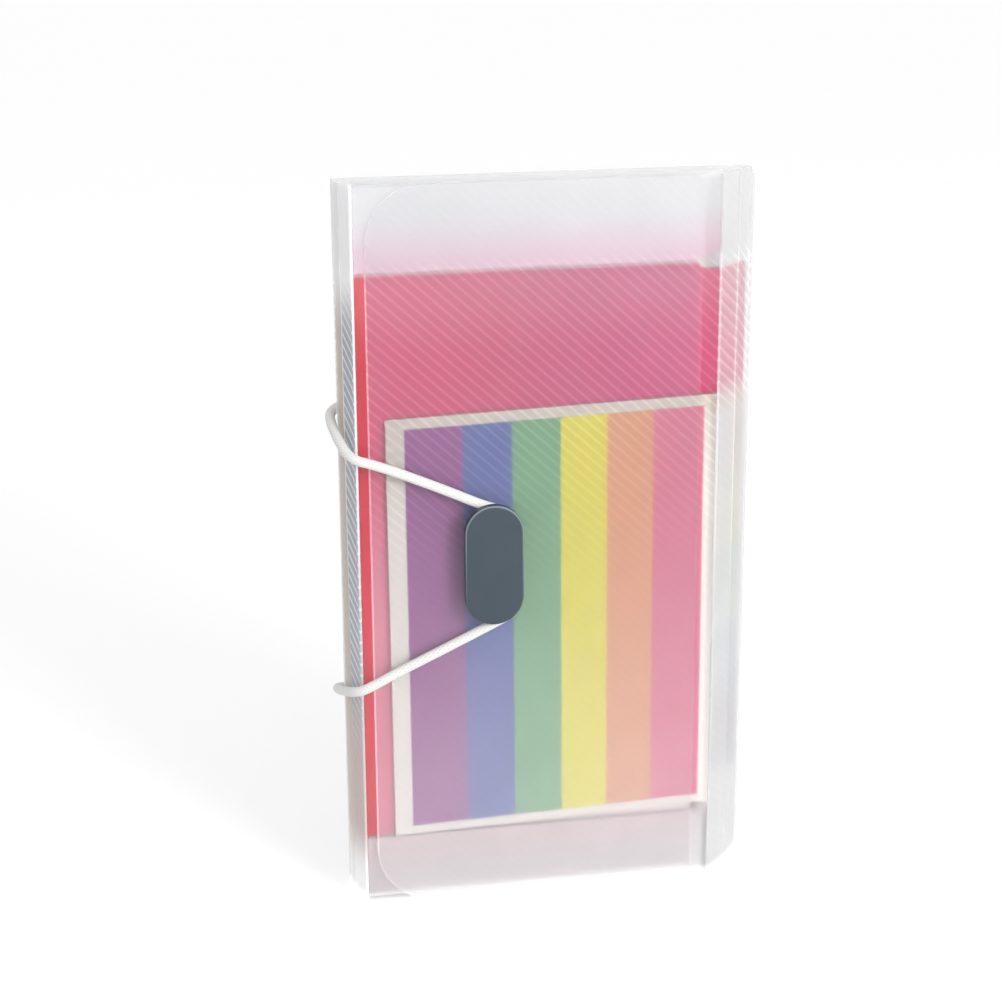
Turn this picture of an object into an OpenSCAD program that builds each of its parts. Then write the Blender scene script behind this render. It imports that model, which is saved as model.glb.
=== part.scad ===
// Accordion file folder with a wrap-over flap, six colour dividers and an elastic closure.
// It stands on its short end: +Z is up, the pockets open towards +X and the flap faces -Y.

/* [Cover] */
// Height of the cover, along the long side of the folder
cover_h = 252; // [180:1:330]
// Width of the back panel, from the closed fold to the opening fold
back_w = 142; // [120:1:200]
// How far the front fold of the opening side stands in from its back fold
strip_lean = 15.3; // [5:0.1:25]
// Depth between the middle planes of the flap and the back panel
cover_d = 17.5; // [15:0.5:30]
// How far the front fold of the closed side stands in from its back fold
spine_lean = 3.7; // [0:0.1:8]
// Thickness of the plastic cover sheet
cover_t = 0.7; // [0.5:0.05:1]
// Outer radius of a fold
fold_r = 0.6; // [0.55:0.05:0.9]
// Outward bulge of the two strips at their middle score
strip_bulge = 0.8; // [0:0.1:1.5]
// Corner radius of the cover beside the opening
cover_corner_r = 3; // [1:0.5:8]

/* [Front panel and flap] */
// Distance from the free edge of the front panel to the flap's fold
panel_inset = 6; // [4:0.5:30]
// Corner radius at the free edge of the front panel
panel_corner_r = 4; // [1:0.5:15]
// Distance from the closed fold to the free edge of the flap
flap_inset = 3.9; // [2:0.1:30]
// Radius of the two free corners of the flap
flap_corner_r = 20; // [5:1:40]
// Space between the front panel and the flap, where the button is riveted
flap_gap = 1.2; // [1.1:0.1:2]

/* [Dividers] */
// Thickness of a divider sheet
divider_t = 0.4; // [0.3:0.05:0.5]
// Lower edge of the dividers above the lower edge of the cover
divider_base = 24; // [15:1:30]
// Distance from the upper edge of the dividers to the upper edge of the cover
divider_drop = 29; // [15:1:35]
// Corner radius of a divider at the opening
divider_corner_r = 4; // [1:0.5:10]
// How far an index tab stands out of its sheet
tab_w = 8; // [5:0.5:12]
// Length of an index tab
tab_l = 43; // [25:1:60]
// Distance from the upper edge of the sheet down to the first tab
tab_top = 3; // [2:0.5:12]
// Distance from the last tab down to the lower edge of the sheet
tab_bottom = 11; // [4:0.5:20]
// Corner radius of a tab
tab_corner_r = 2.5; // [0.5:0.5:4]

/* [Pleated gussets] */
// Thickness of the pleated film
gusset_t = 0.25; // [0.15:0.05:0.3]
// Distance from the ends of the cover in to the outer pleats
gusset_inset = 1; // [0.5:0.5:5]

/* [Insert sheet] */
// Height of the loose paper sheet in the first pocket
insert_h = 150; // [80:1:195]
// Thickness of the loose paper sheet
insert_t = 0.3; // [0.1:0.05:0.5]
// Distance from the closed fold to the lower corner of the sheet
insert_left = 10.7; // [5:0.1:30]
// Distance from its other lower corner to the slanted opening strip
insert_right = 1; // [0.8:0.1:30]
// Lean of the sheet's sides, in degrees
insert_lean = 0.3; // [0:0.1:1]
// Slope of its ends, in degrees: the sheet is cut a little out of square
insert_slope = 1.6; // [0:0.1:2]

/* [Button] */
// Width of the button cap
cap_w = 20; // [18:0.5:26]
// Length of the button cap
cap_l = 42; // [38:1:56]
// Thickness of the button cap
cap_t = 3; // [2.5:0.1:5]
// Bevel round the face of the cap
cap_bevel = 0.9; // [0.3:0.1:1.2]
// Height of the neck that the elastic goes round
neck_h = 4; // [3.9:0.1:6]
// Width of the neck
neck_w = 12; // [10:0.5:12]
// Length of the neck
neck_l = 36; // [32:0.5:36]
// How far the middle of the neck lies below the middle of the cap
neck_drop = 1.5; // [0:0.1:1.5]
// Distance from the closed fold to the middle of the button
button_x = 44.7; // [40:0.1:60]
// How far the middle of the cap lies below half the height of the cover
button_drop = 1.7; // [0:0.1:3]
// Diameter of the two rivet pins
pin_d = 4; // [3:0.5:5]
// Distance between the two rivet pins
pin_pitch = 20; // [14:1:24]
// Thickness of the rivet plate behind the flap
rivet_plate_t = 0.8; // [0.5:0.1:0.8]

/* [Elastic] */
// Diameter of the round elastic
elastic_d = 3.4; // [3:0.1:3.4]
// Distance from the back fold to the two eyelets
eyelet_x = 14; // [14:1:14]
// How far the upper eyelet lies above half the height of the cover
eyelet_rise = 54; // [54:1:54]
// How far the lower eyelet lies below half the height of the cover
eyelet_drop = 56; // [56:1:56]
// Outer diameter of an eyelet
eyelet_d = 7.2; // [6:0.1:9]
// Thickness of the eyelet rim on the outside
eyelet_rim_t = 0.8; // [0.5:0.1:1.2]
// Thickness of the eyelet rim on the inside
eyelet_inner_t = 0.5; // [0.3:0.1:0.6]
// Wall of the eyelet sleeve
eyelet_wall = 0.6; // [0.4:0.1:0.8]
// Length of the bar at each end of the elastic
bar_l = 10; // [7:0.5:14]
// Width of that bar
bar_w = 4.4; // [3.6:0.1:5]
// Thickness of that bar
bar_t = 1; // [0.6:0.1:1]

/* [Hidden] */
$fn = 64;

// Gap between a fold and the sheet that turns on it
fold_clear = 0.15;
// Gap between loose layers, and between a moving sheet and its neighbour
layer_clear = 0.3;
// Gap from a divider to the closed side
side_clear = 0.6;
// Gap from a tab to the slanted opening strip
tab_clear = 1;
// Gap between pieces of one body that lie on each other
seat_clear = 0.05;
// Radial gap round the rivet pins and the elastic
hole_clear = 0.15;
// Overrun of a cut
cut = 1;
// Depth of a sheet's score line
score = 0.2;

divider_count = 6;
pocket_count = divider_count + 1;
divider_colours = ["#de4a5e", "#ef9a5c", "#e9dc5c", "#5fae7f", "#5b74b8", "#8a5aa0"];
film_colour = "#ecedef";

// The cap and the eyelet rims are the foremost and rearmost faces, and the origin lies half way
front_reach = cap_t + neck_h + cover_t / 2;
back_reach = eyelet_rim_t + cover_t / 2;
overall_d = front_reach + cover_d + back_reach;
flap_y = front_reach - overall_d / 2;
back_y = flap_y + cover_d;
panel_y = flap_y + cover_t + flap_gap;
flap_face_y = flap_y - cover_t / 2;
inner_front_y = panel_y + cover_t / 2;
inner_back_y = back_y - cover_t / 2;
pocket_pitch = (inner_back_y - inner_front_y) / pocket_count;

// Corners of the cover in plan
back_left = [-back_w / 2, back_y];
back_right = [back_w / 2, back_y];
front_left = [spine_lean - back_w / 2, panel_y];
front_right = [back_w / 2 - strip_lean, flap_y];
strip_run = front_right - back_right;
strip_angle = atan2(-strip_run[1], -strip_run[0]);
spine_run = front_left - back_left;
strip_middle = (back_right + front_right) / 2 + strip_bulge * outward(strip_run);
spine_middle = (back_left + front_left) / 2 - strip_bulge * outward(spine_run);

button_z = cover_h / 2 - button_drop;
eyelet_upper_z = cover_h / 2 + eyelet_rise;
eyelet_lower_z = cover_h / 2 - eyelet_drop;
divider_top = cover_h - divider_drop;
divider_h = divider_top - divider_base;
tab_step = (divider_h - tab_top - tab_bottom - tab_l) / (divider_count - 1);
insert_front_y = inner_front_y + layer_clear;
insert_corner = [front_left[0] + insert_left, divider_base];
insert_base = [1, tan(insert_slope)] * (strip_x(insert_front_y) - insert_right - insert_corner[0]);
insert_side = [-sin(insert_lean), cos(insert_lean)] * insert_h;
// Start of the opening strip, far enough from its fold to pass the back panel at that sharp angle
strip_start = max(fold_r + fold_clear,
    (cover_t / 2 * (1 + cos(strip_angle)) + layer_clear) / sin(strip_angle));

function unit(v) = v / norm(v);
// Unit normal of a run in plan, to its left
function outward(v) = unit([-v[1], v[0]]);
// Where a sheet at depth y begins at the closed side, where the opening strip's inner face is at
// that depth, and where a tab ends before it
function closed_x(y) = front_left[0] + (y - front_left[1]) * spine_run[0] / spine_run[1]
    + cover_t / 2 + side_clear;
function strip_x(y) = front_right[0] + (y - front_right[1]) * strip_run[0] / strip_run[1]
    - cover_t / 2 / sin(strip_angle);
function opening_x(y) = strip_x(y) - tab_clear;
function divider_y(k) = inner_front_y + (k + 1) * pocket_pitch;

// A rectangle in the plane of a panel, with its left and right corners rounded
module panel_outline(x0, x1, z0, z1, left_r, right_r) {
    difference() {
        translate([x0, z0]) square([x1 - x0, z1 - z0]);
        for (z = [z0, z1]) {
            if (left_r > 0) corner_cut(x0, z, 1, z == z0 ? 1 : -1, left_r);
            if (right_r > 0) corner_cut(x1, z, -1, z == z0 ? 1 : -1, right_r);
        }
    }
}

// What a round corner takes away from a square one
module corner_cut(x, z, side, up, r) {
    translate([x, z]) scale([side, up]) difference() {
        translate([-cut, -cut]) square(r + cut);
        translate([r, r]) circle(r);
    }
}

// A sheet of thickness t across the folder, with its middle plane at y
module across(y, t) {
    translate([0, y + t / 2, 0]) rotate([90, 0, 0]) linear_extrude(t) children();
}

// The rounded outer edge of a fold, on the fold's axis
module fold_edge(p, trim) {
    translate([p[0], p[1], trim]) cylinder(h = cover_h - 2 * trim, r = fold_r);
}

// A narrow strip between two plan points, with a score line along its outer side at each end
module fold_strip(p, q, start, end, side, trim_p, trim_q) {
    u = unit(q - p);
    n = side * outward(q - p) * cover_t / 2;
    a = p + u * start;
    b = q - u * end;
    groove = side * outward(q - p) * score;
    linear_extrude(cover_h) polygon([
        a - n, b - n, b + n - groove, b - u * score + n, a + u * score + n, a + n - groove
    ]);
}

module back_panel() {
    color(film_colour) difference() {
        union() {
            across(back_y, cover_t) panel_outline(
                back_left[0], back_right[0], 0, cover_h, 0, cover_corner_r);
            fold_edge(back_right, cover_corner_r);
            fold_edge(back_left, 0);
        }
        for (z = [eyelet_lower_z, eyelet_upper_z])
            eyelet_bore(z, elastic_d / 2 + hole_clear + eyelet_wall + seat_clear);
    }
}

// A round hole along Y at an eyelet
module eyelet_bore(z, r) {
    translate([back_left[0] + eyelet_x, back_y + cover_t + eyelet_rim_t + cut, z])
        rotate([90, 0, 0]) cylinder(h = 2 * (cover_t + eyelet_rim_t + eyelet_inner_t + cut), r = r);
}

module spine_rear() {
    color(film_colour) {
        fold_strip(back_left, spine_middle, fold_r + seat_clear, 0, -1);
        fold_edge(spine_middle, 0);
    }
}

module spine_front() {
    color(film_colour) {
        fold_strip(spine_middle, front_left, fold_r + seat_clear, 0, -1);
        fold_edge(front_left, 0);
    }
}

module strip_rear() {
    color(film_colour) difference() {
        union() {
            fold_strip(back_right, strip_middle, strip_start, 0, 1);
            fold_edge(strip_middle, 0);
        }
        strip_corners();
    }
}

module strip_front() {
    color(film_colour) {
        fold_strip(strip_middle, front_right, fold_r + seat_clear, 0, 1);
        fold_edge(front_right, 0);
    }
}

// The rounded ends of the opening strip beside the back panel's corners
module strip_corners() {
    translate([back_right[0], back_right[1], 0]) rotate([0, 0, strip_angle + 180])
        translate([strip_start, cut + cover_t, 0]) rotate([90, 0, 0])
        linear_extrude(2 * (cut + cover_t)) {
            corner_cut(0, 0, 1, 1, cover_corner_r - strip_start / 2);
            corner_cut(0, cover_h, 1, -1, cover_corner_r - strip_start / 2);
        }
}

module front_panel() {
    color(film_colour) across(panel_y, cover_t) panel_outline(
        front_left[0] + fold_r + fold_clear, front_right[0] - panel_inset,
        0, cover_h, 0, panel_corner_r);
}

module flap_panel() {
    color(film_colour) difference() {
        across(flap_y, cover_t) panel_outline(
            front_left[0] + flap_inset, front_right[0] - fold_r - fold_clear,
            0, cover_h, flap_corner_r, 0);
        rivet_pins(pin_d / 2 + hole_clear);
    }
}

// One coloured sheet, front to back, with its tab one step lower than the tab in front of it
module divider(k) {
    y = divider_y(k);
    sheet_x = opening_x(y) - tab_w;
    tab_z = divider_top - tab_top - k * tab_step;
    color(divider_colours[k]) across(y, divider_t) {
        panel_outline(closed_x(y), sheet_x, divider_base, divider_top, 0, divider_corner_r);
        panel_outline(sheet_x - divider_corner_r, sheet_x + tab_w,
            tab_z - tab_l, tab_z, 0, tab_corner_r);
    }
}

// A zigzag of film between the back panel and the front panel: inner pleats meet the dividers
module gusset(inner_z, outer_z) {
    steps = 2 * pocket_count;
    half = gusset_t / 2;
    // Where the two walls of a pleat part, beyond its fold
    parting = half * (outer_z - inner_z) / (pocket_pitch / 2);
    first_y = inner_back_y - half - seat_clear;
    last_y = inner_front_y + half + layer_clear;
    ys = [for (i = [0:steps])
        i == 0 ? first_y : i == steps ? last_y : inner_back_y - i * pocket_pitch / 2];
    outside = [for (i = [1:steps - 1]) each i % 2 == 1
        ? [[ys[i] + half, outer_z], [ys[i] - half, outer_z]]
        : [[ys[i], inner_z + parting]]];
    inside = [for (i = [steps - 1:-1:1]) each i % 2 == 1
        ? [[ys[i], outer_z - parting]]
        : [[ys[i] - half, inner_z], [ys[i] + half, inner_z]]];
    color(film_colour) intersection() {
        translate([-back_w, 0, 0]) rotate([90, 0, 90]) linear_extrude(2 * back_w)
            polygon(concat(
                [[first_y + half, inner_z]], outside, [[last_y - half, inner_z]],
                [[last_y + half, inner_z]], inside, [[first_y - half, inner_z]]));
        linear_extrude(cover_h) polygon([
            [closed_x(inner_front_y), inner_front_y], [closed_x(inner_back_y), inner_back_y],
            [opening_x(inner_back_y) - tab_w, inner_back_y],
            [opening_x(inner_front_y) - tab_w, inner_front_y]
        ]);
    }
}

module gusset_upper() {
    gusset(divider_top + layer_clear, cover_h - gusset_inset);
}

module gusset_lower() {
    gusset(divider_base - layer_clear, gusset_inset);
}

// The paper sheet stands in the first pocket on the lower pleats
module insert_sheet() {
    color("white") across(insert_front_y + insert_t / 2, insert_t) polygon([
        insert_corner, insert_corner + insert_base,
        insert_corner + insert_base + insert_side, insert_corner + insert_side
    ]);
}

// A stadium upright in the plane of the flap: a rounded bar of width w and length l
module stadium(w, l) {
    translate([-w / 2, -(l - w) / 2]) square([w, l - w]);
    for (s = [-1, 1]) translate([0, s * (l - w) / 2]) circle(d = w);
}

// Places what is drawn upright in the plane at depth y on the button's middle
module at_button(y, drop) {
    translate([front_left[0] + button_x, y, button_z - drop]) rotate([90, 0, 0]) children();
}

module button_cap() {
    bar = cap_l - cap_w;
    half = [
        [0, 0], [cap_w / 2, 0], [cap_w / 2, cap_t - cap_bevel],
        [cap_w / 2 - cap_bevel, cap_t], [0, cap_t]
    ];
    color("slategray") at_button(flap_face_y - neck_h, 0) {
        for (s = [-1, 1]) translate([0, s * bar / 2, 0]) rotate_extrude() polygon(half);
        translate([0, bar / 2, 0]) rotate([90, 0, 0]) linear_extrude(bar) {
            polygon(half);
            mirror([1, 0]) polygon(half);
        }
    }
}

module button_post() {
    color("slategray") {
        at_button(flap_face_y, neck_drop) linear_extrude(neck_h) stadium(neck_w, neck_l);
        rivet_pins(pin_d / 2);
    }
}

// Two pins from the neck through the flap, flush with the rivet plate behind it
module rivet_pins(r) {
    depth = cover_t + rivet_plate_t;
    for (s = [-1, 1])
        at_button(flap_face_y + depth, neck_drop)
            translate([0, s * pin_pitch / 2, 0]) cylinder(h = depth, r = r);
}

module rivet_plate() {
    color("slategray") difference() {
        at_button(flap_face_y + cover_t + rivet_plate_t, neck_drop)
            linear_extrude(rivet_plate_t) stadium(neck_w, neck_l);
        rivet_pins(pin_d / 2 + seat_clear);
    }
}

// A flanged ring through the back panel, for one end of the elastic
module eyelet(z) {
    bore_r = elastic_d / 2 + hole_clear;
    color("white") difference() {
        translate([back_left[0] + eyelet_x, back_y + cover_t / 2 + eyelet_rim_t, z])
            rotate([90, 0, 0]) {
                cylinder(h = eyelet_rim_t, d = eyelet_d);
                cylinder(h = eyelet_rim_t + cover_t + eyelet_inner_t, r = bore_r + eyelet_wall);
                translate([0, 0, eyelet_rim_t + cover_t]) cylinder(h = eyelet_inner_t, d = eyelet_d);
            }
        eyelet_bore(z, bore_r);
    }
}

module eyelet_upper() {
    eyelet(eyelet_upper_z);
}

module eyelet_lower() {
    eyelet(eyelet_lower_z);
}

// The flat bar that stops an end of the elastic behind its eyelet
module elastic_bar(z) {
    color("white") translate([
        back_left[0] + eyelet_x - bar_w / 2,
        inner_back_y - eyelet_inner_t - bar_t,
        z - bar_l / 2
    ]) cube([bar_w, bar_t, bar_l]);
}

module elastic_bar_upper() {
    elastic_bar(eyelet_upper_z);
}

module elastic_bar_lower() {
    elastic_bar(eyelet_lower_z);
}

// Route of the elastic, by hand, with heights from half the cover's height: out of the upper
// eyelet, round the closed side, to the neck
upper_route = [
    [-57, 11, 54], [-57, 12.9, 54], [-57.8, 14.7, 53.8], [-60, 15.5, 53.1], [-64, 15.1, 51.6],
    [-69, 14.5, 49.7], [-72, 14, 48.4], [-73.6, 12.2, 47.2], [-73.9, 9, 45.4], [-73.1, 4, 42.7],
    [-71.9, -1, 40.1], [-70.5, -4.8, 38], [-67.8, -7.7, 36.3], [-63, -8.2, 34.7],
    [-56, -8.1, 32], [-46, -8.1, 27.7], [-36, -8.1, 23.2], [-27, -8.1, 19]
];
// The same from the neck back to the lower eyelet
lower_route = [
    [-27, -8.1, -26], [-36, -8.1, -30.2], [-46, -8.1, -34.8], [-56, -8.1, -39.4],
    [-63, -8.2, -42.8], [-67.8, -7.7, -45], [-70.5, -4.8, -46.3], [-71.9, -1, -47.5],
    [-73.1, 4, -49], [-73.9, 9, -50.3], [-73.6, 12.2, -51.1], [-72, 14, -51.7],
    [-69, 14.5, -52.5], [-64, 15.1, -54], [-60, 15.5, -55.3], [-57.8, 14.7, -55.8],
    [-57, 12.9, -56], [-57, 11, -56]
];
elastic_sides = 8;
// The loop starts this many steps from each eyelet, at the front edge of the closed side
end_steps = 12;
turn_steps = 6;
turn_r = neck_w / 2 + elastic_d / 2 + hole_clear;
turn_x = front_left[0] + button_x;
turn_y = flap_face_y - neck_h / 2;
turn_rise = (neck_l - neck_w) / 2;
// Round the neck: from the strand's tangent over the top, down the right side and under
neck_turn = concat(
    [for (i = [0:turn_steps]) neck_point(65 - i * 65 / turn_steps, 1)],
    [for (i = [0:turn_steps]) neck_point(-i * 65 / turn_steps, -1)]
);
route = concat(raised(upper_route), neck_turn, raised(lower_route));

function raised(points) = [for (p = points) p + [0, 0, cover_h / 2]];
function neck_point(a, side) = [
    turn_x + turn_r * cos(a), turn_y, button_z - neck_drop + side * turn_rise + turn_r * sin(a)
];
function route_tangent(i) =
    unit(route[min(i + 1, len(route) - 1)] - route[max(i - 1, 0)]);
// Carries a normal along the route without twist
function squared(n, t) = unit(n - (n * t) * t);
route_normals = [
    for (i = 0, n = squared([1, 0, 0], route_tangent(0)); i < len(route);
        i = i + 1, n = squared(n, route_tangent(min(i, len(route) - 1)))) n
];
route_rings = [
    for (i = [0:len(route) - 1]) let (n = route_normals[i], b = cross(route_tangent(i), n))
        [for (s = [0:elastic_sides - 1]) route[i]
            + elastic_d / 2 * (cos(360 * s / elastic_sides) * n + sin(360 * s / elastic_sides) * b)]
];

// A closed tube through the rings numbered first to last
module elastic_tube(first, last) {
    rings = last - first;
    m = elastic_sides;
    color("white") polyhedron(
        points = [for (i = [first:last]) each route_rings[i]],
        faces = concat(
            [for (i = [0:rings - 1]) for (s = [0:m - 1]) for (half = [0, 1]) half == 0
                ? [i * m + s, (i + 1) * m + s, (i + 1) * m + (s + 1) % m]
                : [i * m + s, (i + 1) * m + (s + 1) % m, i * m + (s + 1) % m]],
            [for (s = [1:m - 2]) [0, s, s + 1]],
            [for (s = [1:m - 2]) [rings * m, rings * m + s + 1, rings * m + s]]
        )
    );
}

module elastic_ends() {
    elastic_tube(0, end_steps);
    elastic_tube(len(route) - 1 - end_steps, len(route) - 1);
}

module elastic_loop() {
    elastic_tube(end_steps, len(route) - 1 - end_steps);
}

back_panel();
spine_rear();
spine_front();
strip_rear();
strip_front();
front_panel();
flap_panel();
divider(0);  // divider_red
divider(1);  // divider_orange
divider(2);  // divider_yellow
divider(3);  // divider_green
divider(4);  // divider_blue
divider(5);  // divider_purple
gusset_upper();
gusset_lower();
insert_sheet();
button_cap();
button_post();
rivet_plate();
elastic_ends();
elastic_loop();
eyelet_upper();
eyelet_lower();
elastic_bar_upper();
elastic_bar_lower();
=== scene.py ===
import math

import bmesh
import bpy
from mathutils import Matrix, Vector


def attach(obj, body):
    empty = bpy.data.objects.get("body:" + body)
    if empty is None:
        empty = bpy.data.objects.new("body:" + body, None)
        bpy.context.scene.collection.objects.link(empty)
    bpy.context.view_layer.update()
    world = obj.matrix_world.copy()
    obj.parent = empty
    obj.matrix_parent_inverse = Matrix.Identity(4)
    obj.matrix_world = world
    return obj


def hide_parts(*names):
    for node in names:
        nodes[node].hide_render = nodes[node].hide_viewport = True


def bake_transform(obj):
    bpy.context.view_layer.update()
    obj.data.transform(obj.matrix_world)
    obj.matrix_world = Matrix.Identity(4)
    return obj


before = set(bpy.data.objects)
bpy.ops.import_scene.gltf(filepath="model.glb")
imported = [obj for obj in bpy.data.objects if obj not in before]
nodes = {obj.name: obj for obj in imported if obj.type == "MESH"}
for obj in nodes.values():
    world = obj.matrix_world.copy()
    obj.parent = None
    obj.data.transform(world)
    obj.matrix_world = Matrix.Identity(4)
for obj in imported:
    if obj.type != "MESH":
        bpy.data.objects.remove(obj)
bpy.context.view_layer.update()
scene = bpy.context.scene

# Camera: a long lens a little above the folder and to its left, as the photograph was taken.
# Its place and turn come from the folder's own straight edges.
camera = bpy.data.objects.new("camera", bpy.data.cameras.new("camera"))
scene.collection.objects.link(camera)
camera_place = Vector((-0.14834, -0.68903, 0.35728))
yaw, pitch, roll = math.radians(10.711), math.radians(16.999), math.radians(-0.317)
forward = Vector((math.sin(yaw) * math.cos(pitch), math.cos(yaw) * math.cos(pitch), -math.sin(pitch)))
level = Vector((math.cos(yaw), -math.sin(yaw), 0))
upright = level.cross(forward)
camera_axes = Matrix((
    level * math.cos(roll) + upright * math.sin(roll),
    upright * math.cos(roll) - level * math.sin(roll),
    -forward,
)).transposed()
camera.matrix_world = Matrix.Translation(camera_place) @ camera_axes.to_4x4()
camera.data.lens = 77.96
camera.data.clip_start = 0.01
scene.camera = camera
scene.view_settings.view_transform = "Standard"


# Light and floor: a pale room all round, one soft lamp from the front right, and a pale floor
# that keeps a faint shadow. The camera sees room and floor as white.
def add(tree, kind, **values):
    node = tree.nodes.new(kind)
    for name, value in values.items():
        setattr(node, name, value)
    return node


def feed(tree, value, socket):
    if isinstance(value, bpy.types.NodeSocket):
        tree.links.new(value, socket)
    else:
        socket.default_value = value


def math_node(tree, operation, *values, clamp=False):
    node = add(tree, "ShaderNodeMath", operation=operation, use_clamp=clamp)
    for socket, value in zip(node.inputs, values[:2]):
        feed(tree, value, socket)
    if len(values) > 2:
        return math_node(tree, operation, node.outputs[0], *values[2:], clamp=clamp)
    return node.outputs[0]


def new_material(name, roughness):
    material = bpy.data.materials.new(name)
    material.use_nodes = True
    sockets = material.node_tree.nodes["Principled BSDF"].inputs
    sockets["Roughness"].default_value = roughness
    return material, material.node_tree, sockets


def new_piece(name, shape, material):
    mesh = bpy.data.meshes.new(name)
    shape.to_mesh(mesh)
    shape.free()
    mesh.materials.append(material)
    piece = bpy.data.objects.new(name, mesh)
    scene.collection.objects.link(piece)
    return piece


room = bpy.data.worlds.new("room")
scene.world = room
room.use_nodes = True
room_tree = room.node_tree
room_light, room_seen = 0.76, 1.0
background = room_tree.nodes["Background"].inputs
background["Color"].default_value = (1, 1, 1, 1)
ray = add(room_tree, "ShaderNodeLightPath").outputs
seen_ray = math_node(
    room_tree, "MAXIMUM", ray["Is Camera Ray"], ray["Is Glossy Ray"], ray["Is Transmission Ray"])
seen_more = math_node(room_tree, "MULTIPLY", seen_ray, room_seen - room_light)
feed(room_tree, math_node(room_tree, "ADD", seen_more, room_light), background["Strength"])

lamp = bpy.data.objects.new("soft_lamp", bpy.data.lights.new("soft_lamp", "AREA"))
scene.collection.objects.link(lamp)
lamp.data.shape = "DISK"
lamp.data.size = 0.5
lamp.data.energy = 9
lamp.location = (0.6, -1.1, 0.55)
folder_middle = Vector((0, 0, 0.12))
lamp.rotation_mode = "QUATERNION"
lamp.rotation_quaternion = (folder_middle - lamp.location).to_track_quat("-Z", "Y")

floor_paint, floor_tree, floor_sockets = new_material("floor_paint", 0.8)
floor_sockets["Base Color"].default_value = (0.86, 0.86, 0.86, 1)
floor_sockets["Emission Color"].default_value = (1, 1, 1, 1)
floor_ray = add(floor_tree, "ShaderNodeLightPath").outputs["Is Camera Ray"]
feed(floor_tree, math_node(floor_tree, "MULTIPLY", floor_ray, 0.3), floor_sockets["Emission Strength"])
floor_shape = bmesh.new()
bmesh.ops.create_grid(floor_shape, x_segments=1, y_segments=1, size=6)
floor = new_piece("floor", floor_shape, floor_paint)
floor.location = (0, 0, -0.0002)

# Elastic: one length of white braided round elastic, about 3.4 mm thick. Both ends go through
# eyelets in the back panel, and its loop is stretched round the neck of the button.
# The route is in millimetres, with heights from the middle of the folder.
half_height, cord_radius = 0.126, 0.0017
elastic_upper = [
    (-57, 11, 54), (-57, 12.9, 54), (-57.8, 14.7, 53.8), (-60, 15.5, 53.1), (-64, 15.1, 51.6),
    (-69, 14.5, 49.7), (-72, 14, 48.4), (-73.6, 12.2, 47.2), (-73.9, 9, 45.4), (-73.1, 4, 42.7),
    (-71.9, -1, 40.1), (-70.5, -4.8, 38), (-67.8, -7.7, 36.3), (-63, -8.2, 34.7),
    (-56, -8.1, 32), (-46, -8.1, 27.7), (-36, -8.1, 23.2), (-27, -8.1, 19),
]
elastic_lower = [
    (-27, -8.1, -26), (-36, -8.1, -30.2), (-46, -8.1, -34.8), (-56, -8.1, -39.4),
    (-63, -8.2, -42.8), (-67.8, -7.7, -45), (-70.5, -4.8, -46.3), (-71.9, -1, -47.5),
    (-73.1, 4, -49), (-73.9, 9, -50.3), (-73.6, 12.2, -51.1), (-72, 14, -51.7),
    (-69, 14.5, -52.5), (-64, 15.1, -54), (-60, 15.5, -55.3), (-57.8, 14.7, -55.8),
    (-57, 12.9, -56), (-57, 11, -56),
]
neck_x, neck_z, neck_lobe, turn_radius, turn_angle, turn_steps = -22.6, -3.2, 12, 7.85, 65, 6
neck_turn = []
for side, first_angle in ((1, turn_angle), (-1, 0)):
    for step in range(turn_steps + 1):
        angle = math.radians(first_angle - turn_angle * step / turn_steps)
        neck_turn.append((neck_x + turn_radius * math.cos(angle), -8,
                          neck_z + side * neck_lobe + turn_radius * math.sin(angle)))
elastic_points = [
    Vector((x / 1000, y / 1000, half_height + z / 1000))
    for x, y, z in elastic_upper + neck_turn + elastic_lower
]
elastic_curve = bpy.data.curves.new("elastic_curve", "CURVE")
elastic_curve.dimensions = "3D"
elastic_curve.resolution_u = 4
elastic_spline = elastic_curve.splines.new("BEZIER")
elastic_spline.bezier_points.add(len(elastic_points) - 1)
for bezier, point in zip(elastic_spline.bezier_points, elastic_points):
    bezier.co = point
    bezier.handle_left_type = bezier.handle_right_type = "AUTO"
elastic_former = bpy.data.objects.new("elastic_former", elastic_curve)
scene.collection.objects.link(elastic_former)
bpy.context.view_layer.update()
elastic_centre = bpy.data.meshes.new_from_object(elastic_former)
elastic_curve.bevel_depth = cord_radius
elastic_curve.bevel_resolution = 3
elastic_curve.use_fill_caps = True
bpy.context.view_layer.update()
elastic_mesh = bpy.data.meshes.new_from_object(elastic_former)
bpy.data.objects.remove(elastic_former)
for face in elastic_mesh.polygons:
    face.use_smooth = True
elastic = bpy.data.objects.new("elastic_band", elastic_mesh)
scene.collection.objects.link(elastic)


def split(tree, vector):
    node = add(tree, "ShaderNodeSeparateXYZ")
    feed(tree, vector, node.inputs[0])
    return node.outputs


def mix_colour(tree, factor, first, second, blend_type="MIX"):
    node = add(tree, "ShaderNodeMix", data_type="RGBA", blend_type=blend_type)
    for name, value in (("Factor", factor), ("A", first), ("B", second)):
        feed(tree, value, node.inputs[name])
    return node.outputs["Result"]


def relief(tree, height_mask, strength, distance):
    node = add(tree, "ShaderNodeBump")
    node.inputs["Strength"].default_value = strength
    node.inputs["Distance"].default_value = distance
    feed(tree, height_mask, node.inputs["Height"])
    return node.outputs[0]


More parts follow.
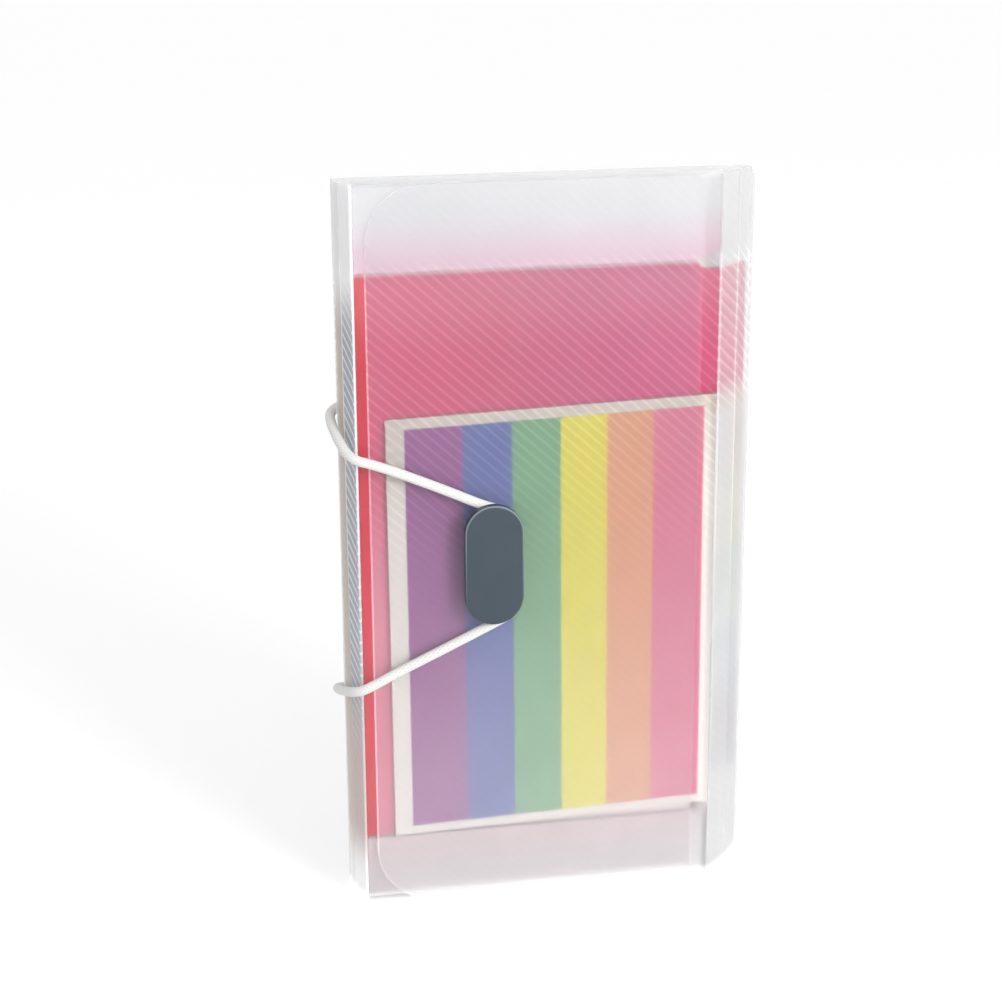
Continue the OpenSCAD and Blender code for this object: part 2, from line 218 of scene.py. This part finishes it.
braid, braid_tree, braid_sockets = new_material("braided_elastic", 0.85)
braid_sockets["Specular IOR Level"].default_value = 0.25
strands_along, strands_around = 190, 8
braid_place = split(braid_tree, add(braid_tree, "ShaderNodeUVMap").outputs[0])
along = math_node(braid_tree, "MULTIPLY", braid_place["X"], 2 * math.pi * strands_along)
around = math_node(braid_tree, "MULTIPLY", braid_place["Y"], 2 * math.pi * strands_around)
# The braid: the grooves between the strands are painted darker as painted shade, and the same pattern
# gives the bump.
weave = math_node(
    braid_tree, "MAXIMUM",
    math_node(braid_tree, "SINE", math_node(braid_tree, "ADD", along, around)),
    math_node(braid_tree, "SINE", math_node(braid_tree, "SUBTRACT", along, around)))
weave_range = add(braid_tree, "ShaderNodeMapRange")
weave_range.inputs["From Min"].default_value = -1
weave_range.inputs["From Max"].default_value = 1
feed(braid_tree, weave, weave_range.inputs["Value"])
weave_height_and_shade = weave_range.outputs[0]
feed(braid_tree, mix_colour(braid_tree, weave_height_and_shade, (0.74, 0.74, 0.71, 1), (0.87, 0.87, 0.85, 1)),
     braid_sockets["Base Color"])
feed(braid_tree, relief(braid_tree, weave_height_and_shade, 0.3, 0.0002), braid_sockets["Normal"])
elastic_mesh.materials.clear()
elastic_mesh.materials.append(braid)
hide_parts("elastic_ends", "elastic_loop")
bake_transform(elastic)


# Cover: one creased sheet of frosted polypropylene with a fine diagonal emboss. Its panels and
# strips keep their solids; the folds are whitened by bending, and the folds, the emboss lines and
# the cut edges also get a painted highlight and a painted glow.
# In the node group, heights and distances are in metres.
def new_group(name, inputs, outputs):
    group = bpy.data.node_groups.new(name, "ShaderNodeTree")
    for in_out, sockets in (("INPUT", inputs), ("OUTPUT", outputs)):
        for kind, socket_names in sockets.items():
            for socket_name in socket_names:
                group.interface.new_socket(socket_name, in_out=in_out, socket_type="NodeSocket" + kind)
    return group, add(group, "NodeGroupInput").outputs, add(group, "NodeGroupOutput").inputs


def use_group(tree, group, values):
    place = add(tree, "ShaderNodeTexCoord").outputs
    values = {"Point": place["Object"], "Normal": place["Normal"], **values}
    node = add(tree, "ShaderNodeGroup", node_tree=group)
    for socket in node.inputs:
        feed(tree, values[socket.name], socket)
    return node.outputs


def dress(name, material):
    nodes[name].data.materials.clear()
    nodes[name].data.materials.append(material)


def vector_node(tree, operation, first, second):
    node = add(tree, "ShaderNodeVectorMath", operation=operation)
    feed(tree, first, node.inputs[0])
    feed(tree, second, node.inputs[1])
    return node.outputs["Value" if operation in ("DOT_PRODUCT", "DISTANCE") else "Vector"]


def ramp(tree, value, low, high, out_low=0.0, out_high=1.0):
    node = add(tree, "ShaderNodeMapRange", interpolation_type="SMOOTHSTEP")
    for socket, given in zip(node.inputs[:5], (value, low, high, out_low, out_high)):
        feed(tree, given, socket)
    return node.outputs[0]


def noise(tree, point, scale):
    node = add(tree, "ShaderNodeTexNoise")
    node.inputs["Scale"].default_value = scale
    feed(tree, point, node.inputs["Vector"])
    return node.outputs[0]


frost, frost_in, frost_out = new_group(
    "frosted_sheet",
    {"Vector": ("Point", "Normal", "Facing", "Across", "Fold A", "Fold B"),
     "Float": ("Haze Low", "Haze High", "Change From", "Change To", "Lines", "Lines From", "Lines To",
               "Crease Reach", "Crease White And Highlight", "Painted Light Ends", "Rim"),
     "Color": ("Upper Colour And Shade", "Lower Colour And Shade")},
    {"Float": ("Alpha", "Height"), "Color": ("Colour", "Painted Glow")})
frost_place = split(frost, frost_in["Point"])


def by_height(low, high, out_low=0.0, out_high=1.0):
    return ramp(frost, frost_place["Z"], low, high, out_low, out_high)


def by_width(low, high, out_low=0.0, out_high=1.0):
    return ramp(frost, frost_place["X"], low, high, out_low, out_high)


def frost_math(operation, *values, clamp=False):
    return math_node(frost, operation, *values, clamp=clamp)


# The emboss: narrow raised lines at one slope. Their whitening and glow are a painted highlight,
# clear in the upper part, where the lines catch the light, and fading downwards.
line_slope, line_pitch = math.radians(42.5), 0.00292
line_run = frost_math(
    "ADD",
    frost_math("MULTIPLY", vector_node(frost, "DOT_PRODUCT", frost_in["Point"], frost_in["Across"]),
               math.sin(line_slope)),
    frost_math("MULTIPLY", frost_place["Z"], math.cos(line_slope)))
off_line = frost_math("SUBTRACT", frost_math("FRACT", frost_math("DIVIDE", line_run, line_pitch)), 0.5)
rib_and_highlight = frost_math(
    "MULTIPLY", ramp(frost, frost_math("ABSOLUTE", off_line), 0.02, 0.26, 1, 0),
    by_height(frost_in["Lines From"], frost_in["Lines To"], 0.05, 1), by_height(0.22, 0.228, 1, 0.05),
    frost_in["Lines"])

# The white folds, whitened by bending, with a painted highlight that fades downwards like the
# lines, and the flap's rounded cut edge, painted as a white highlight line.
fold_lines = []
for fold in ("Fold A", "Fold B"):
    flat_way = vector_node(frost, "MULTIPLY", frost_in["Point"], (1, 1, 0))
    off_fold = vector_node(frost, "DISTANCE", flat_way, frost_in[fold])
    share_off = frost_math("DIVIDE", off_fold, frost_in["Crease Reach"])
    fold_lines.append(ramp(frost, share_off, 0.3, 1, 1, 0))
crease_and_highlight = frost_math(
    "MULTIPLY", frost_math("MAXIMUM", *fold_lines), frost_in["Crease White And Highlight"],
    by_height(0.222, 0.236, 1, 0.1), by_height(frost_in["Lines From"], frost_in["Lines To"], 0.15, 1))
corner_x, corner_radius = -0.0434, 0.02
past_x = frost_math("MAXIMUM", frost_math("SUBTRACT", corner_x, frost_place["X"]), 0)
off_middle = frost_math("ABSOLUTE", frost_math("SUBTRACT", frost_place["Z"], half_height))
past_z = frost_math("MAXIMUM", frost_math("SUBTRACT", off_middle, half_height - corner_radius), 0)
off_corner = frost_math("SQRT", frost_math(
    "ADD", frost_math("POWER", past_x, 2), frost_math("POWER", past_z, 2)))
flap_edge_highlight = frost_math(
    "MULTIPLY", ramp(frost, off_corner, 0.0193, 0.0197), frost_in["Rim"],
    by_height(0.218, 0.226, 1, 0), by_height(0.015, 0.035, 0.45, 1))
crease_and_highlight = frost_math("MAXIMUM", crease_and_highlight, flap_edge_highlight)

# What else is paler, as painted light: the closed side's ends, the cut edges and beads as a
# painted highlight, the foot as painted light over the contact shadow, and the part of the flap
# with no front panel behind it, which also gets painted glow.
painted_light_ends = frost_math(
    "MULTIPLY", frost_math("MAXIMUM", by_height(0.2, 0.223), by_height(0.008, 0.03, 1, 0)),
    frost_in["Painted Light Ends"])
turned = frost_math("ABSOLUTE", vector_node(
    frost, "DOT_PRODUCT", frost_in["Normal"], frost_in["Facing"]))
cut_edge = ramp(frost, turned, 0.35, 0.9, 1, 0)
edge_highlight = frost_math(
    "MULTIPLY", cut_edge, by_height(0.09, 0.15, 0.25, 1), by_height(0.222, 0.23, 1, 0.3))
foot = by_height(0.001, 0.004, 1, 0)
beyond = frost_math(
    "MULTIPLY", by_width(0.048, 0.0515), frost_in["Rim"], by_height(0.168, 0.178, 1, 0.1))
beyond_painted_glow = frost_math(
    "MULTIPLY", beyond, by_width(0.0505, 0.053, 0, 0.2), by_height(0.022, 0.028))
beyond_foot_glow = frost_math(
    "MULTIPLY", by_width(0.0482, 0.0497), by_width(0.0525, 0.0545, 0.3, 0), frost_in["Rim"],
    by_height(0.022, 0.028, 1, 0))

# The outermost film stays denser than about a quarter everywhere, which keeps the picture even.
sheet_haze = by_height(
    frost_in["Change From"], frost_in["Change To"], frost_in["Haze Low"], frost_in["Haze High"])
haze = frost_math("ADD", sheet_haze, frost_math("MULTIPLY", beyond, 0.35))
cloud = ramp(frost, noise(frost, frost_in["Point"], 26), 0.25, 0.75, 0.94, 1.06)
feed(frost, frost_math(
    "ADD", frost_math("MULTIPLY", haze, cloud), frost_math("MULTIPLY", rib_and_highlight, 0.075),
    frost_math("MULTIPLY", crease_and_highlight, 0.6), frost_math("MULTIPLY", foot, 0.3),
    frost_math("MULTIPLY", edge_highlight, 0.2), clamp=True), frost_out["Alpha"])
# The sheet's tone: white on the panels, painted shade on the strips and the closed side, with the
# lower colour near the bottom.
tone = mix_colour(frost, by_height(0.05, 0.09), frost_in["Lower Colour And Shade"], frost_in["Upper Colour And Shade"])
whitened = frost_math("MAXIMUM", rib_and_highlight, crease_and_highlight, edge_highlight, painted_light_ends)
feed(frost, mix_colour(frost, whitened, tone, (0.98, 0.98, 0.99, 1)), frost_out["Colour"])
# The painted glow goes to the emission: painted light that is stronger towards the bottom, painted
# highlights on the folds, cut edges and lines, and painted light at the foot, the ends and beyond the
# front panel.
feed(frost, frost_math(
    "ADD", by_height(0, 0.17, 0.075, 0.01), frost_math("MULTIPLY", crease_and_highlight, 0.2),
    frost_math("MULTIPLY", edge_highlight, 0.1),
    frost_math("MULTIPLY", cut_edge, frost_in["Rim"], by_height(0.205, 0.225, 0, 0.17)),
    beyond_foot_glow, beyond_painted_glow, frost_math("MULTIPLY", foot, 0.15),
    frost_math("MULTIPLY", painted_light_ends, 0.06), frost_math("MULTIPLY", rib_and_highlight, 0.055)), frost_out["Painted Glow"])
grain = noise(frost, frost_in["Point"], 1600)
feed(frost, frost_math("ADD", frost_math("MULTIPLY", rib_and_highlight, 0.3), frost_math("MULTIPLY", grain, 0.1)),
     frost_out["Height"])


def dress_sheet(name, facing, across, folds, clear, low_haze, high_haze, change=(0.02, 0.15),
                lines=1.0, crease_and_highlight=1.0, ends=0.0, rim=0.0, fade=(0.168, 0.182),
                upper_colour_and_shade=(0.96, 0.96, 0.97, 1), lower_colour_and_shade=None):
    material, tree, sockets = new_material(name + "_film", 0.35)
    sockets["IOR"].default_value = 1.3
    sockets["Transmission Weight"].default_value = clear
    sockets["Emission Strength"].default_value = 1
    sheet = use_group(tree, frost, {
        "Facing": facing, "Across": across, "Fold A": (*folds[0], 0), "Fold B": (*folds[-1], 0),
        "Haze Low": low_haze, "Haze High": high_haze, "Change From": change[0],
        "Change To": change[1], "Lines": lines, "Lines From": fade[0], "Lines To": fade[1],
        "Crease Reach": 0.0007, "Crease White And Highlight": crease_and_highlight, "Painted Light Ends": ends, "Rim": rim,
        "Upper Colour And Shade": upper_colour_and_shade, "Lower Colour And Shade": lower_colour_and_shade or upper_colour_and_shade})
    feed(tree, sheet["Colour"], sockets["Base Color"])
    feed(tree, sheet["Alpha"], sockets["Alpha"])
    # The painted glow feeds the emission.
    feed(tree, sheet["Painted Glow"], sockets["Emission Color"])
    feed(tree, relief(tree, sheet["Height"], 0.15, 0.0001), sockets["Normal"])
    dress(name, material)


def plan_normal(a, b):
    way = (Vector(b) - Vector(a)).normalized()
    return (-way.y, way.x, 0)


# The fold axes in plan, as X and Y.
back_left, back_right = (-0.071, 0.01185), (0.071, 0.01185)
front_left, front_right = (-0.0673, -0.00375), (0.0557, -0.00565)
spine_middle, strip_middle = (-0.06993, 0.00423), (0.06295, 0.00257)
dress_sheet("flap_panel", (0, 1, 0), (1, 0, 0), [front_right],
            0.9, 0.52, 0.29, rim=0.6, fade=(0.115, 0.185))
dress_sheet("front_panel", (0, 1, 0), (1, 0, 0), [front_left],
            0.97, 0.65, 0.65, lines=0, fade=(0.03, 0.06))
dress_sheet("back_panel", (0, 1, 0), (-1, 0, 0), [back_left, back_right], 0.6, 0.7, 0.6)
# The strips and the closed side are painted greyer than the rest of the sheet as painted shade, darker
# at the bottom. The closed side's front is painted blue-grey above and pinkish below, and its rear
# tan.
dress_sheet("strip_front", plan_normal(strip_middle, front_right), (0, 1, 0), [front_right],
            0.4, 0.9, 0.3, change=(0.168, 0.184), crease_and_highlight=0.9,
            upper_colour_and_shade=(0.82, 0.82, 0.82, 1), lower_colour_and_shade=(0.77, 0.77, 0.77, 1))
dress_sheet("strip_rear", plan_normal(back_right, strip_middle), (0, 1, 0), [strip_middle, back_right],
            0.4, 0.75, 0.36, change=(0.168, 0.184), crease_and_highlight=0.2,
            upper_colour_and_shade=(0.82, 0.82, 0.81, 1), lower_colour_and_shade=(0.77, 0.77, 0.77, 1))
dress_sheet("spine_front", plan_normal(spine_middle, front_left), (0, -1, 0), [front_left],
            0.3, 0.95, 0.95, lines=0.8, crease_and_highlight=0.4, ends=1.0, fade=(0.05, 0.1),
            upper_colour_and_shade=(0.5, 0.53, 0.59, 1), lower_colour_and_shade=(0.68, 0.56, 0.55, 1))
dress_sheet("spine_rear", plan_normal(back_left, spine_middle), (0, -1, 0), [back_left],
            0.4, 0.9, 0.9, lines=0.15, crease_and_highlight=0.4, ends=0.9, fade=(0.05, 0.1),
            upper_colour_and_shade=(0.74, 0.65, 0.58, 1), lower_colour_and_shade=(0.72, 0.63, 0.56, 1))

# Dividers: six sheets of coloured translucent film, each with an index tab one step lower than
# the one in front. The tab's end is bent along the opening strip, and the welded edge is milky.
leaf, leaf_in, leaf_out = new_group(
    "coloured_film",
    {"Vector": ("Point", "Normal"), "Color": ("Sheet Colour", "Side Colour", "Milky Colour And Painted Light"),
     "Float": ("Cut Corner",)},
    {"Color": ("Colour",)})
leaf_place = split(leaf, leaf_in["Point"])


def leaf_height(low, high, out_low=0.0, out_high=1.0):
    return ramp(leaf, leaf_place["Z"], low, high, out_low, out_high)


def leaf_width(low, high, out_low=0.0, out_high=1.0):
    return ramp(leaf, leaf_place["X"], low, high, out_low, out_high)


side_to_sheet = mix_colour(
    leaf, leaf_width(-0.0645, -0.061), leaf_in["Side Colour"], leaf_in["Sheet Colour"])
# Painted shade: each sheet is painted darker towards the right, and bluer from the middle rightwards,
# less so over the tab column.
leaf_cloud = ramp(leaf, noise(leaf, leaf_in["Point"], 14), 0.3, 0.7, 0.95, 1.05)
shade = math_node(leaf, "MULTIPLY", leaf_cloud, leaf_width(-0.055, 0.01, 1.03, 0.88))
blue_shade = math_node(
    leaf, "MULTIPLY", shade, leaf_width(-0.03, 0.03, 1, 1.35), leaf_width(0.048, 0.0488, 1, 0.78))
shade_colour = add(leaf, "ShaderNodeCombineColor")
for channel, channel_shade in zip(shade_colour.inputs, (shade, shade, blue_shade)):
    feed(leaf, channel_shade, channel)
shaded = mix_colour(leaf, 1, side_to_sheet, shade_colour.outputs[0], "MULTIPLY")
upper_weld = math_node(
    leaf, "MAXIMUM", leaf_height(0.2208, 0.2231, 0, 0.8), leaf_height(0.19, 0.2185, 0, 0.1))
lower_weld = math_node(
    leaf, "MULTIPLY", leaf_height(0.0255, 0.0285, 0.9, 0), leaf_width(-0.05, -0.04))
pale_side = math_node(
    leaf, "MULTIPLY", leaf_height(0.11, 0.165, 0.19, 0.02), leaf_height(0.05, 0.1, 0.4, 1),
    leaf_width(-0.06, -0.054, 1, 0), leaf_width(-0.0635, -0.062))
cut_corner = math_node(
    leaf, "MULTIPLY", leaf_height(0.2165, 0.2195), leaf_width(0.044, 0.05), leaf_in["Cut Corner"])
leaf_turned = math_node(
    leaf, "ABSOLUTE", vector_node(leaf, "DOT_PRODUCT", leaf_in["Normal"], (0, 1, 0)))
# The welds, the cut corners and the pale side are milky, and the edge-on faces are painted milky as a
# painted highlight on the cut edges.
milky_and_edge_highlight = math_node(leaf, "MAXIMUM", upper_weld, lower_weld, pale_side, cut_corner,
                  ramp(leaf, leaf_turned, 0.1, 0.5, 0.45, 0))
feed(leaf, mix_colour(leaf, milky_and_edge_highlight, shaded, leaf_in["Milky Colour And Painted Light"]), leaf_out["Colour"])

# The six sheets part the space between the panels into seven pockets. The first tab is at the
# top, and a tab's bent end lies a little inside the strip.
space_front, space_back = -0.0034, 0.0115
pocket = (space_back - space_front) / 7
tab_top, tab_step, tab_height, tab_gap = 0.22, 0.0284, 0.043, 0.0006
inward = -Vector(plan_normal(front_right, back_right))
if inward.x > 0:
    inward.negate()


def on_line(a, b, y):
    return a[0] + (y - a[1]) * (b[0] - a[0]) / (b[1] - a[1])


def strip_side(y):
    a, b = (front_right, strip_middle) if y < strip_middle[1] else (strip_middle, back_right)
    return on_line(a, b, y)


def tab_end(y):
    return on_line(front_right, back_right, y) - 0.001465


divider_colours = [
    ("red", (0.66, 0.015, 0.14), (0.72, 0.015, 0.04)),
    ("orange", (0.86, 0.3, 0.1), (0.9, 0.33, 0.1)),
    ("yellow", (0.82, 0.7, 0.1), (0.85, 0.75, 0.12)),
    ("green", (0.12, 0.42, 0.2), (0.14, 0.48, 0.24)),
    ("blue", (0.1, 0.17, 0.52), (0.11, 0.2, 0.58)),
    ("purple", (0.28, 0.09, 0.38), (0.33, 0.11, 0.42)),
]
for number, (colour, sheet_colour, side_colour) in enumerate(divider_colours):
    film, film_tree, film_sockets = new_material(colour + "_film", 0.45)
    film_sockets["Specular IOR Level"].default_value = 0.2
    # The milky colour is made lighter than the weld as painted light against the gusset's shadow.
    feed(film_tree, use_group(film_tree, leaf, {
        "Sheet Colour": (*sheet_colour, 1), "Side Colour": (*side_colour, 1),
        "Milky Colour And Painted Light": (*[0.86 + 0.1 * channel for channel in side_colour], 1),
        "Cut Corner": min(number, 1)})["Colour"], film_sockets["Base Color"])
    dress("divider_" + colour, film)

    # The bent end starts as a line in plan, is drawn up to the tab's height, gets rounded
    # corners and then its thickness. The purple one reaches a little further back.
    sheet_y = space_front + (number + 1) * pocket
    bend_y = sheet_y + 0.0012
    last_y = 0.0102 if number < 5 else 0.0108
    low_z = tab_top - number * tab_step - tab_height
    bend = [Vector((tab_end(sheet_y) - inset, sheet_y, low_z)) for inset in (0.0012, 0.0002)]
    for y in (sheet_y + 0.0005, bend_y, bend_y + 0.45 * (last_y - bend_y), last_y):
        if y > bend[-1].y + 0.0001:
            bend.append(Vector((strip_side(y), y, low_z)) + inward * tab_gap)
    tip = bmesh.new()
    line = [tip.verts.new(place) for place in bend]
    chain = [tip.edges.new(pair) for pair in zip(line, line[1:])]
    drawn = bmesh.ops.extrude_edge_only(tip, edges=chain)["geom"]
    for vertex in drawn:
        if isinstance(vertex, bmesh.types.BMVert):
            vertex.co.z += tab_height
            if vertex.co.x > bend[1].x + 0.0001:
                vertex.co += inward * tab_gap / 2
    free_end = [v for v in tip.verts if v.co.y > last_y - 0.0001]
    corner_round = min(0.0022, 0.8 * (bend[-1] - bend[-2]).length)
    bmesh.ops.bevel(tip, geom=free_end, offset=corner_round, segments=4, profile=0.5,
                    affect="VERTICES", offset_type="OFFSET", material=-1)
    bmesh.ops.recalc_face_normals(tip, faces=tip.faces)
    bmesh.ops.solidify(tip, geom=tip.faces[:], thickness=0.00012)
    tip_piece = new_piece("tab_end_" + colour, tip, film)
    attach(tip_piece, "leaf_" + colour)

# Gussets: thin frosted film in narrow pleats across both ends, welded to the dividers at the
# inner folds and to the two panels at the sides. The red sheet's glow is painted into it as a pink
# tint near the inner folds, and the film is painted grey as painted shade, darker in the lower gusset.
pleat, pleat_in, pleat_out = new_group(
    "pleat_film",
    {"Vector": ("Point",), "Float": ("Fold Height",), "Color": ("Red Glow Colour", "Shaded Film Colour")},
    {"Color": ("Colour",)})
off_inner = math_node(pleat, "ABSOLUTE", math_node(
    pleat, "SUBTRACT", split(pleat, pleat_in["Point"])["Z"], pleat_in["Fold Height"]))
pleat_glow_and_shade = mix_colour(
    pleat, ramp(pleat, off_inner, 0, 0.019), pleat_in["Red Glow Colour"], pleat_in["Shaded Film Colour"])
feed(pleat, pleat_glow_and_shade, pleat_out["Colour"])


def closed_side(y):
    return on_line(front_left, back_left, y) + 0.00095


# The folds start as a zigzag line in depth and height, with blunt crowns. The line is drawn
# across from the closed side to a little inside the dividers' ends and gets its thickness.
pleat_count, crown_half, fold_round, gusset_inset = 14, 0.00014, 0.0005, 0.008
for name, inner, outer, red_glow_colour, shaded_film_colour in (
        ("gusset_upper", 0.2233, 0.251, (0.8, 0.56, 0.66, 1), (0.78, 0.78, 0.79, 1)),
        ("gusset_lower", 0.0237, 0.001, (0.6, 0.46, 0.475, 1), (0.53, 0.475, 0.49, 1))):
    outward = 1 if outer > inner else -1
    fold_line = [(space_back - 0.0002, inner)]
    for fold in range(1, pleat_count):
        y = space_back - fold * pocket / 2
        fold_z, turn = (outer, outward) if fold % 2 else (inner, -outward)
        shoulder, crown = fold_z - turn * fold_round, fold_z - turn * 0.0001
        fold_line += [(y + 2 * crown_half, shoulder), (y + crown_half, crown),
                      (y - crown_half, crown), (y - 2 * crown_half, shoulder)]
    fold_line.append((space_front + 0.0002, inner))
    pleats = bmesh.new()
    line = [pleats.verts.new((closed_side(y), y, z)) for y, z in fold_line]
    edges = [pleats.edges.new(pair) for pair in zip(line, line[1:])]
    drawn = bmesh.ops.extrude_edge_only(pleats, edges=edges)["geom"]
    for vertex in drawn:
        if isinstance(vertex, bmesh.types.BMVert):
            vertex.co.x = tab_end(vertex.co.y) - gusset_inset
    bmesh.ops.recalc_face_normals(pleats, faces=pleats.faces)
    bmesh.ops.solidify(pleats, geom=pleats.faces[:], thickness=0.0002)
    pleat_film, pleat_tree, pleat_sockets = new_material(name + "_film", 0.45)
    feed(pleat_tree, use_group(pleat_tree, pleat, {
        "Fold Height": inner, "Red Glow Colour": red_glow_colour, "Shaded Film Colour": shaded_film_colour})["Colour"],
        pleat_sockets["Base Color"])
    gusset = new_piece(name + "_pleats", pleats, pleat_film)
    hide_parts(name)
    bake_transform(gusset)

# Paper sheet: a loose card printed with six plain colour stripes inside a white margin. It
# stands in the first pocket on the lower pleats, turned a little. Its print is laid out from
# its lower left corner, across and up in metres.
card, card_tree, card_sockets = new_material("striped_card", 0.7)
card_sockets["Specular IOR Level"].default_value = 0.2
card_place = add(card_tree, "ShaderNodeTexCoord").outputs["Object"]
card_corner, card_lean, card_slope = (-0.0566, 0, 0.024), math.radians(0.3), math.radians(1.6)
card_spot = vector_node(card_tree, "SUBTRACT", card_place, card_corner)
across_way = (math.cos(card_lean), 0, math.sin(card_lean))
up_way = (-math.sin(card_slope), 0, math.cos(card_slope))
card_across = vector_node(card_tree, "DOT_PRODUCT", card_spot, across_way)
card_up = vector_node(card_tree, "DOT_PRODUCT", card_spot, up_way)
print_width, stripe_blur, border_blur = 0.11, 0.0004, 0.00035
stripe_colours = [
    (0.275, 0.028, 0.24), (0.06, 0.09, 0.355), (0.135, 0.355, 0.165),
    (0.71, 0.63, 0.02), (0.7, 0.29, 0.14), (0.66, 0.115, 0.225),
]
stripe_starts = (0.0257, 0.0425, 0.0592, 0.0753, 0.0914)
stops = [(0, stripe_colours[0])]
for start, before, after in zip(stripe_starts, stripe_colours, stripe_colours[1:]):
    stops += [(start - stripe_blur, before), (start + stripe_blur, after)]
stripes = add(card_tree, "ShaderNodeValToRGB")
while len(stripes.color_ramp.elements) < len(stops):
    stripes.color_ramp.elements.new(0.5)
for stop, (start, colour) in zip(stripes.color_ramp.elements, stops):
    stop.position = start / print_width
    stop.color = (*colour, 1)
feed(card_tree, math_node(card_tree, "DIVIDE", card_across, print_width), stripes.inputs[0])
inside_print = math_node(card_tree, "MULTIPLY", *[
    ramp(card_tree, position, limit - border_blur, limit + border_blur, before, 1 - before)
    for position, low, high in ((card_across, 0.0062, 0.1089), (card_up, 0.003, 0.1462))
    for limit, before in ((low, 0), (high, 1))])
# The margin is painted darker towards the top of the card: painted shade.
margin_and_painted_shade = mix_colour(
    card_tree, ramp(card_tree, card_up, 0.115, 0.146), (0.77, 0.71, 0.655, 1), (0.64, 0.57, 0.5, 1))
feed(card_tree, mix_colour(card_tree, inside_print, margin_and_painted_shade, stripes.outputs["Color"]),
     card_sockets["Base Color"])
fibres = noise(card_tree, card_place, 500)
feed(card_tree, relief(card_tree, fibres, 0.15, 0.0001), card_sockets["Normal"])
dress("insert_sheet", card)

# Button: an oblong cap of smooth slate-coloured plastic on a narrower neck. Two pins of the neck
# go through the flap and are riveted to a thin plate behind it. The cap's rounded rim has a painted
# highlight, brightest at the top.
moulded, moulded_in, moulded_out = new_group(
    "moulded_plastic",
    {"Vector": ("Point", "Normal"), "Color": ("Dark Colour", "Light Colour", "Rim Highlight Colour")},
    {"Color": ("Colour",), "Float": ("Height",)})
cloudy = noise(moulded, moulded_in["Point"], 90)
moulded_tone = mix_colour(moulded, cloudy, moulded_in["Dark Colour"], moulded_in["Light Colour"])
facing = math_node(
    moulded, "ABSOLUTE", vector_node(moulded, "DOT_PRODUCT", moulded_in["Normal"], (0, 1, 0)))
# Painted highlight on the rounded rim, brighter towards the top.
painted_rim_highlight = math_node(
    moulded, "MULTIPLY", ramp(moulded, facing, 0.3, 0.55), ramp(moulded, facing, 0.8, 0.97, 1, 0),
    ramp(moulded, split(moulded, moulded_in["Point"])["Z"], 0.104, 0.143, 0.15, 0.9))
cap_skin_and_highlight = mix_colour(moulded, painted_rim_highlight, moulded_tone, moulded_in["Rim Highlight Colour"])
feed(moulded, cap_skin_and_highlight, moulded_out["Colour"])
feed(moulded, noise(moulded, moulded_in["Point"], 2500), moulded_out["Height"])


def moulded_finish(name, colour, rim_highlight_colour, roughness):
    material, tree, sockets = new_material(name, roughness)
    skin = use_group(tree, moulded, {
        "Dark Colour": (*[0.88 * c for c in colour], 1),
        "Light Colour": (*[1.1 * c for c in colour], 1), "Rim Highlight Colour": (*rim_highlight_colour, 1)})
    feed(tree, skin["Colour"], sockets["Base Color"])
    feed(tree, relief(tree, skin["Height"], 0.12, 0.00005), sockets["Normal"])
    return material


slate = moulded_finish("slate_plastic", (0.042, 0.063, 0.083), (0.26, 0.31, 0.34), 0.45)

# The cap starts as a disc, is pulled apart to an oblong, raised and rounded along both edges,
# and then turned to face the front.
cap_radius, cap_straight, cap_thick, cap_points = 0.01, 0.011, 0.003, 64
cap_place = (-0.0226, -0.01, 0.1243)
cap = bmesh.new()
bmesh.ops.create_circle(cap, cap_ends=True, segments=cap_points, radius=cap_radius)
bmesh.ops.rotate(cap, verts=cap.verts, matrix=Matrix.Rotation(math.pi / cap_points, 3, "Z"))
for vertex in cap.verts:
    vertex.co.y += math.copysign(cap_straight, vertex.co.y)
raised = bmesh.ops.extrude_face_region(cap, geom=cap.faces[:])["geom"]
raised_points = [v for v in raised if isinstance(v, bmesh.types.BMVert)]
bmesh.ops.translate(cap, verts=raised_points, vec=(0, 0, cap_thick))
bmesh.ops.recalc_face_normals(cap, faces=cap.faces)
for edge_z, rounding, segments in ((cap_thick, 0.0009, 5), (0, 0.0003, 2)):
    rim_edges = [e for e in cap.edges if all(abs(v.co.z - edge_z) < 0.0001 for v in e.verts)]
    bmesh.ops.bevel(cap, geom=rim_edges, offset=rounding, segments=segments, profile=0.5,
                    affect="EDGES", offset_type="OFFSET", material=-1)
on_the_flap = Matrix.Translation(cap_place) @ Matrix.Rotation(math.pi / 2, 4, "X")
bmesh.ops.transform(cap, verts=cap.verts, matrix=on_the_flap)
cap_piece = new_piece("cap", cap, slate)
for face in cap_piece.data.polygons:
    face.use_smooth = face.area < 0.0001
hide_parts("button_cap")
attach(cap_piece, "flap")
for name in ("button_post", "rivet_plate"):
    dress(name, slate)

# Eyelets and stops: plain white moulded plastic. The eyelets line the two holes in the back
# panel, and a small flat bar on each end of the elastic stops it from pulling through.
white_plastic = moulded_finish("white_plastic", (0.76, 0.76, 0.75), (0.76, 0.76, 0.75), 0.4)
for name in ("eyelet_upper", "eyelet_lower", "elastic_bar_upper", "elastic_bar_lower"):
    dress(name, white_plastic)
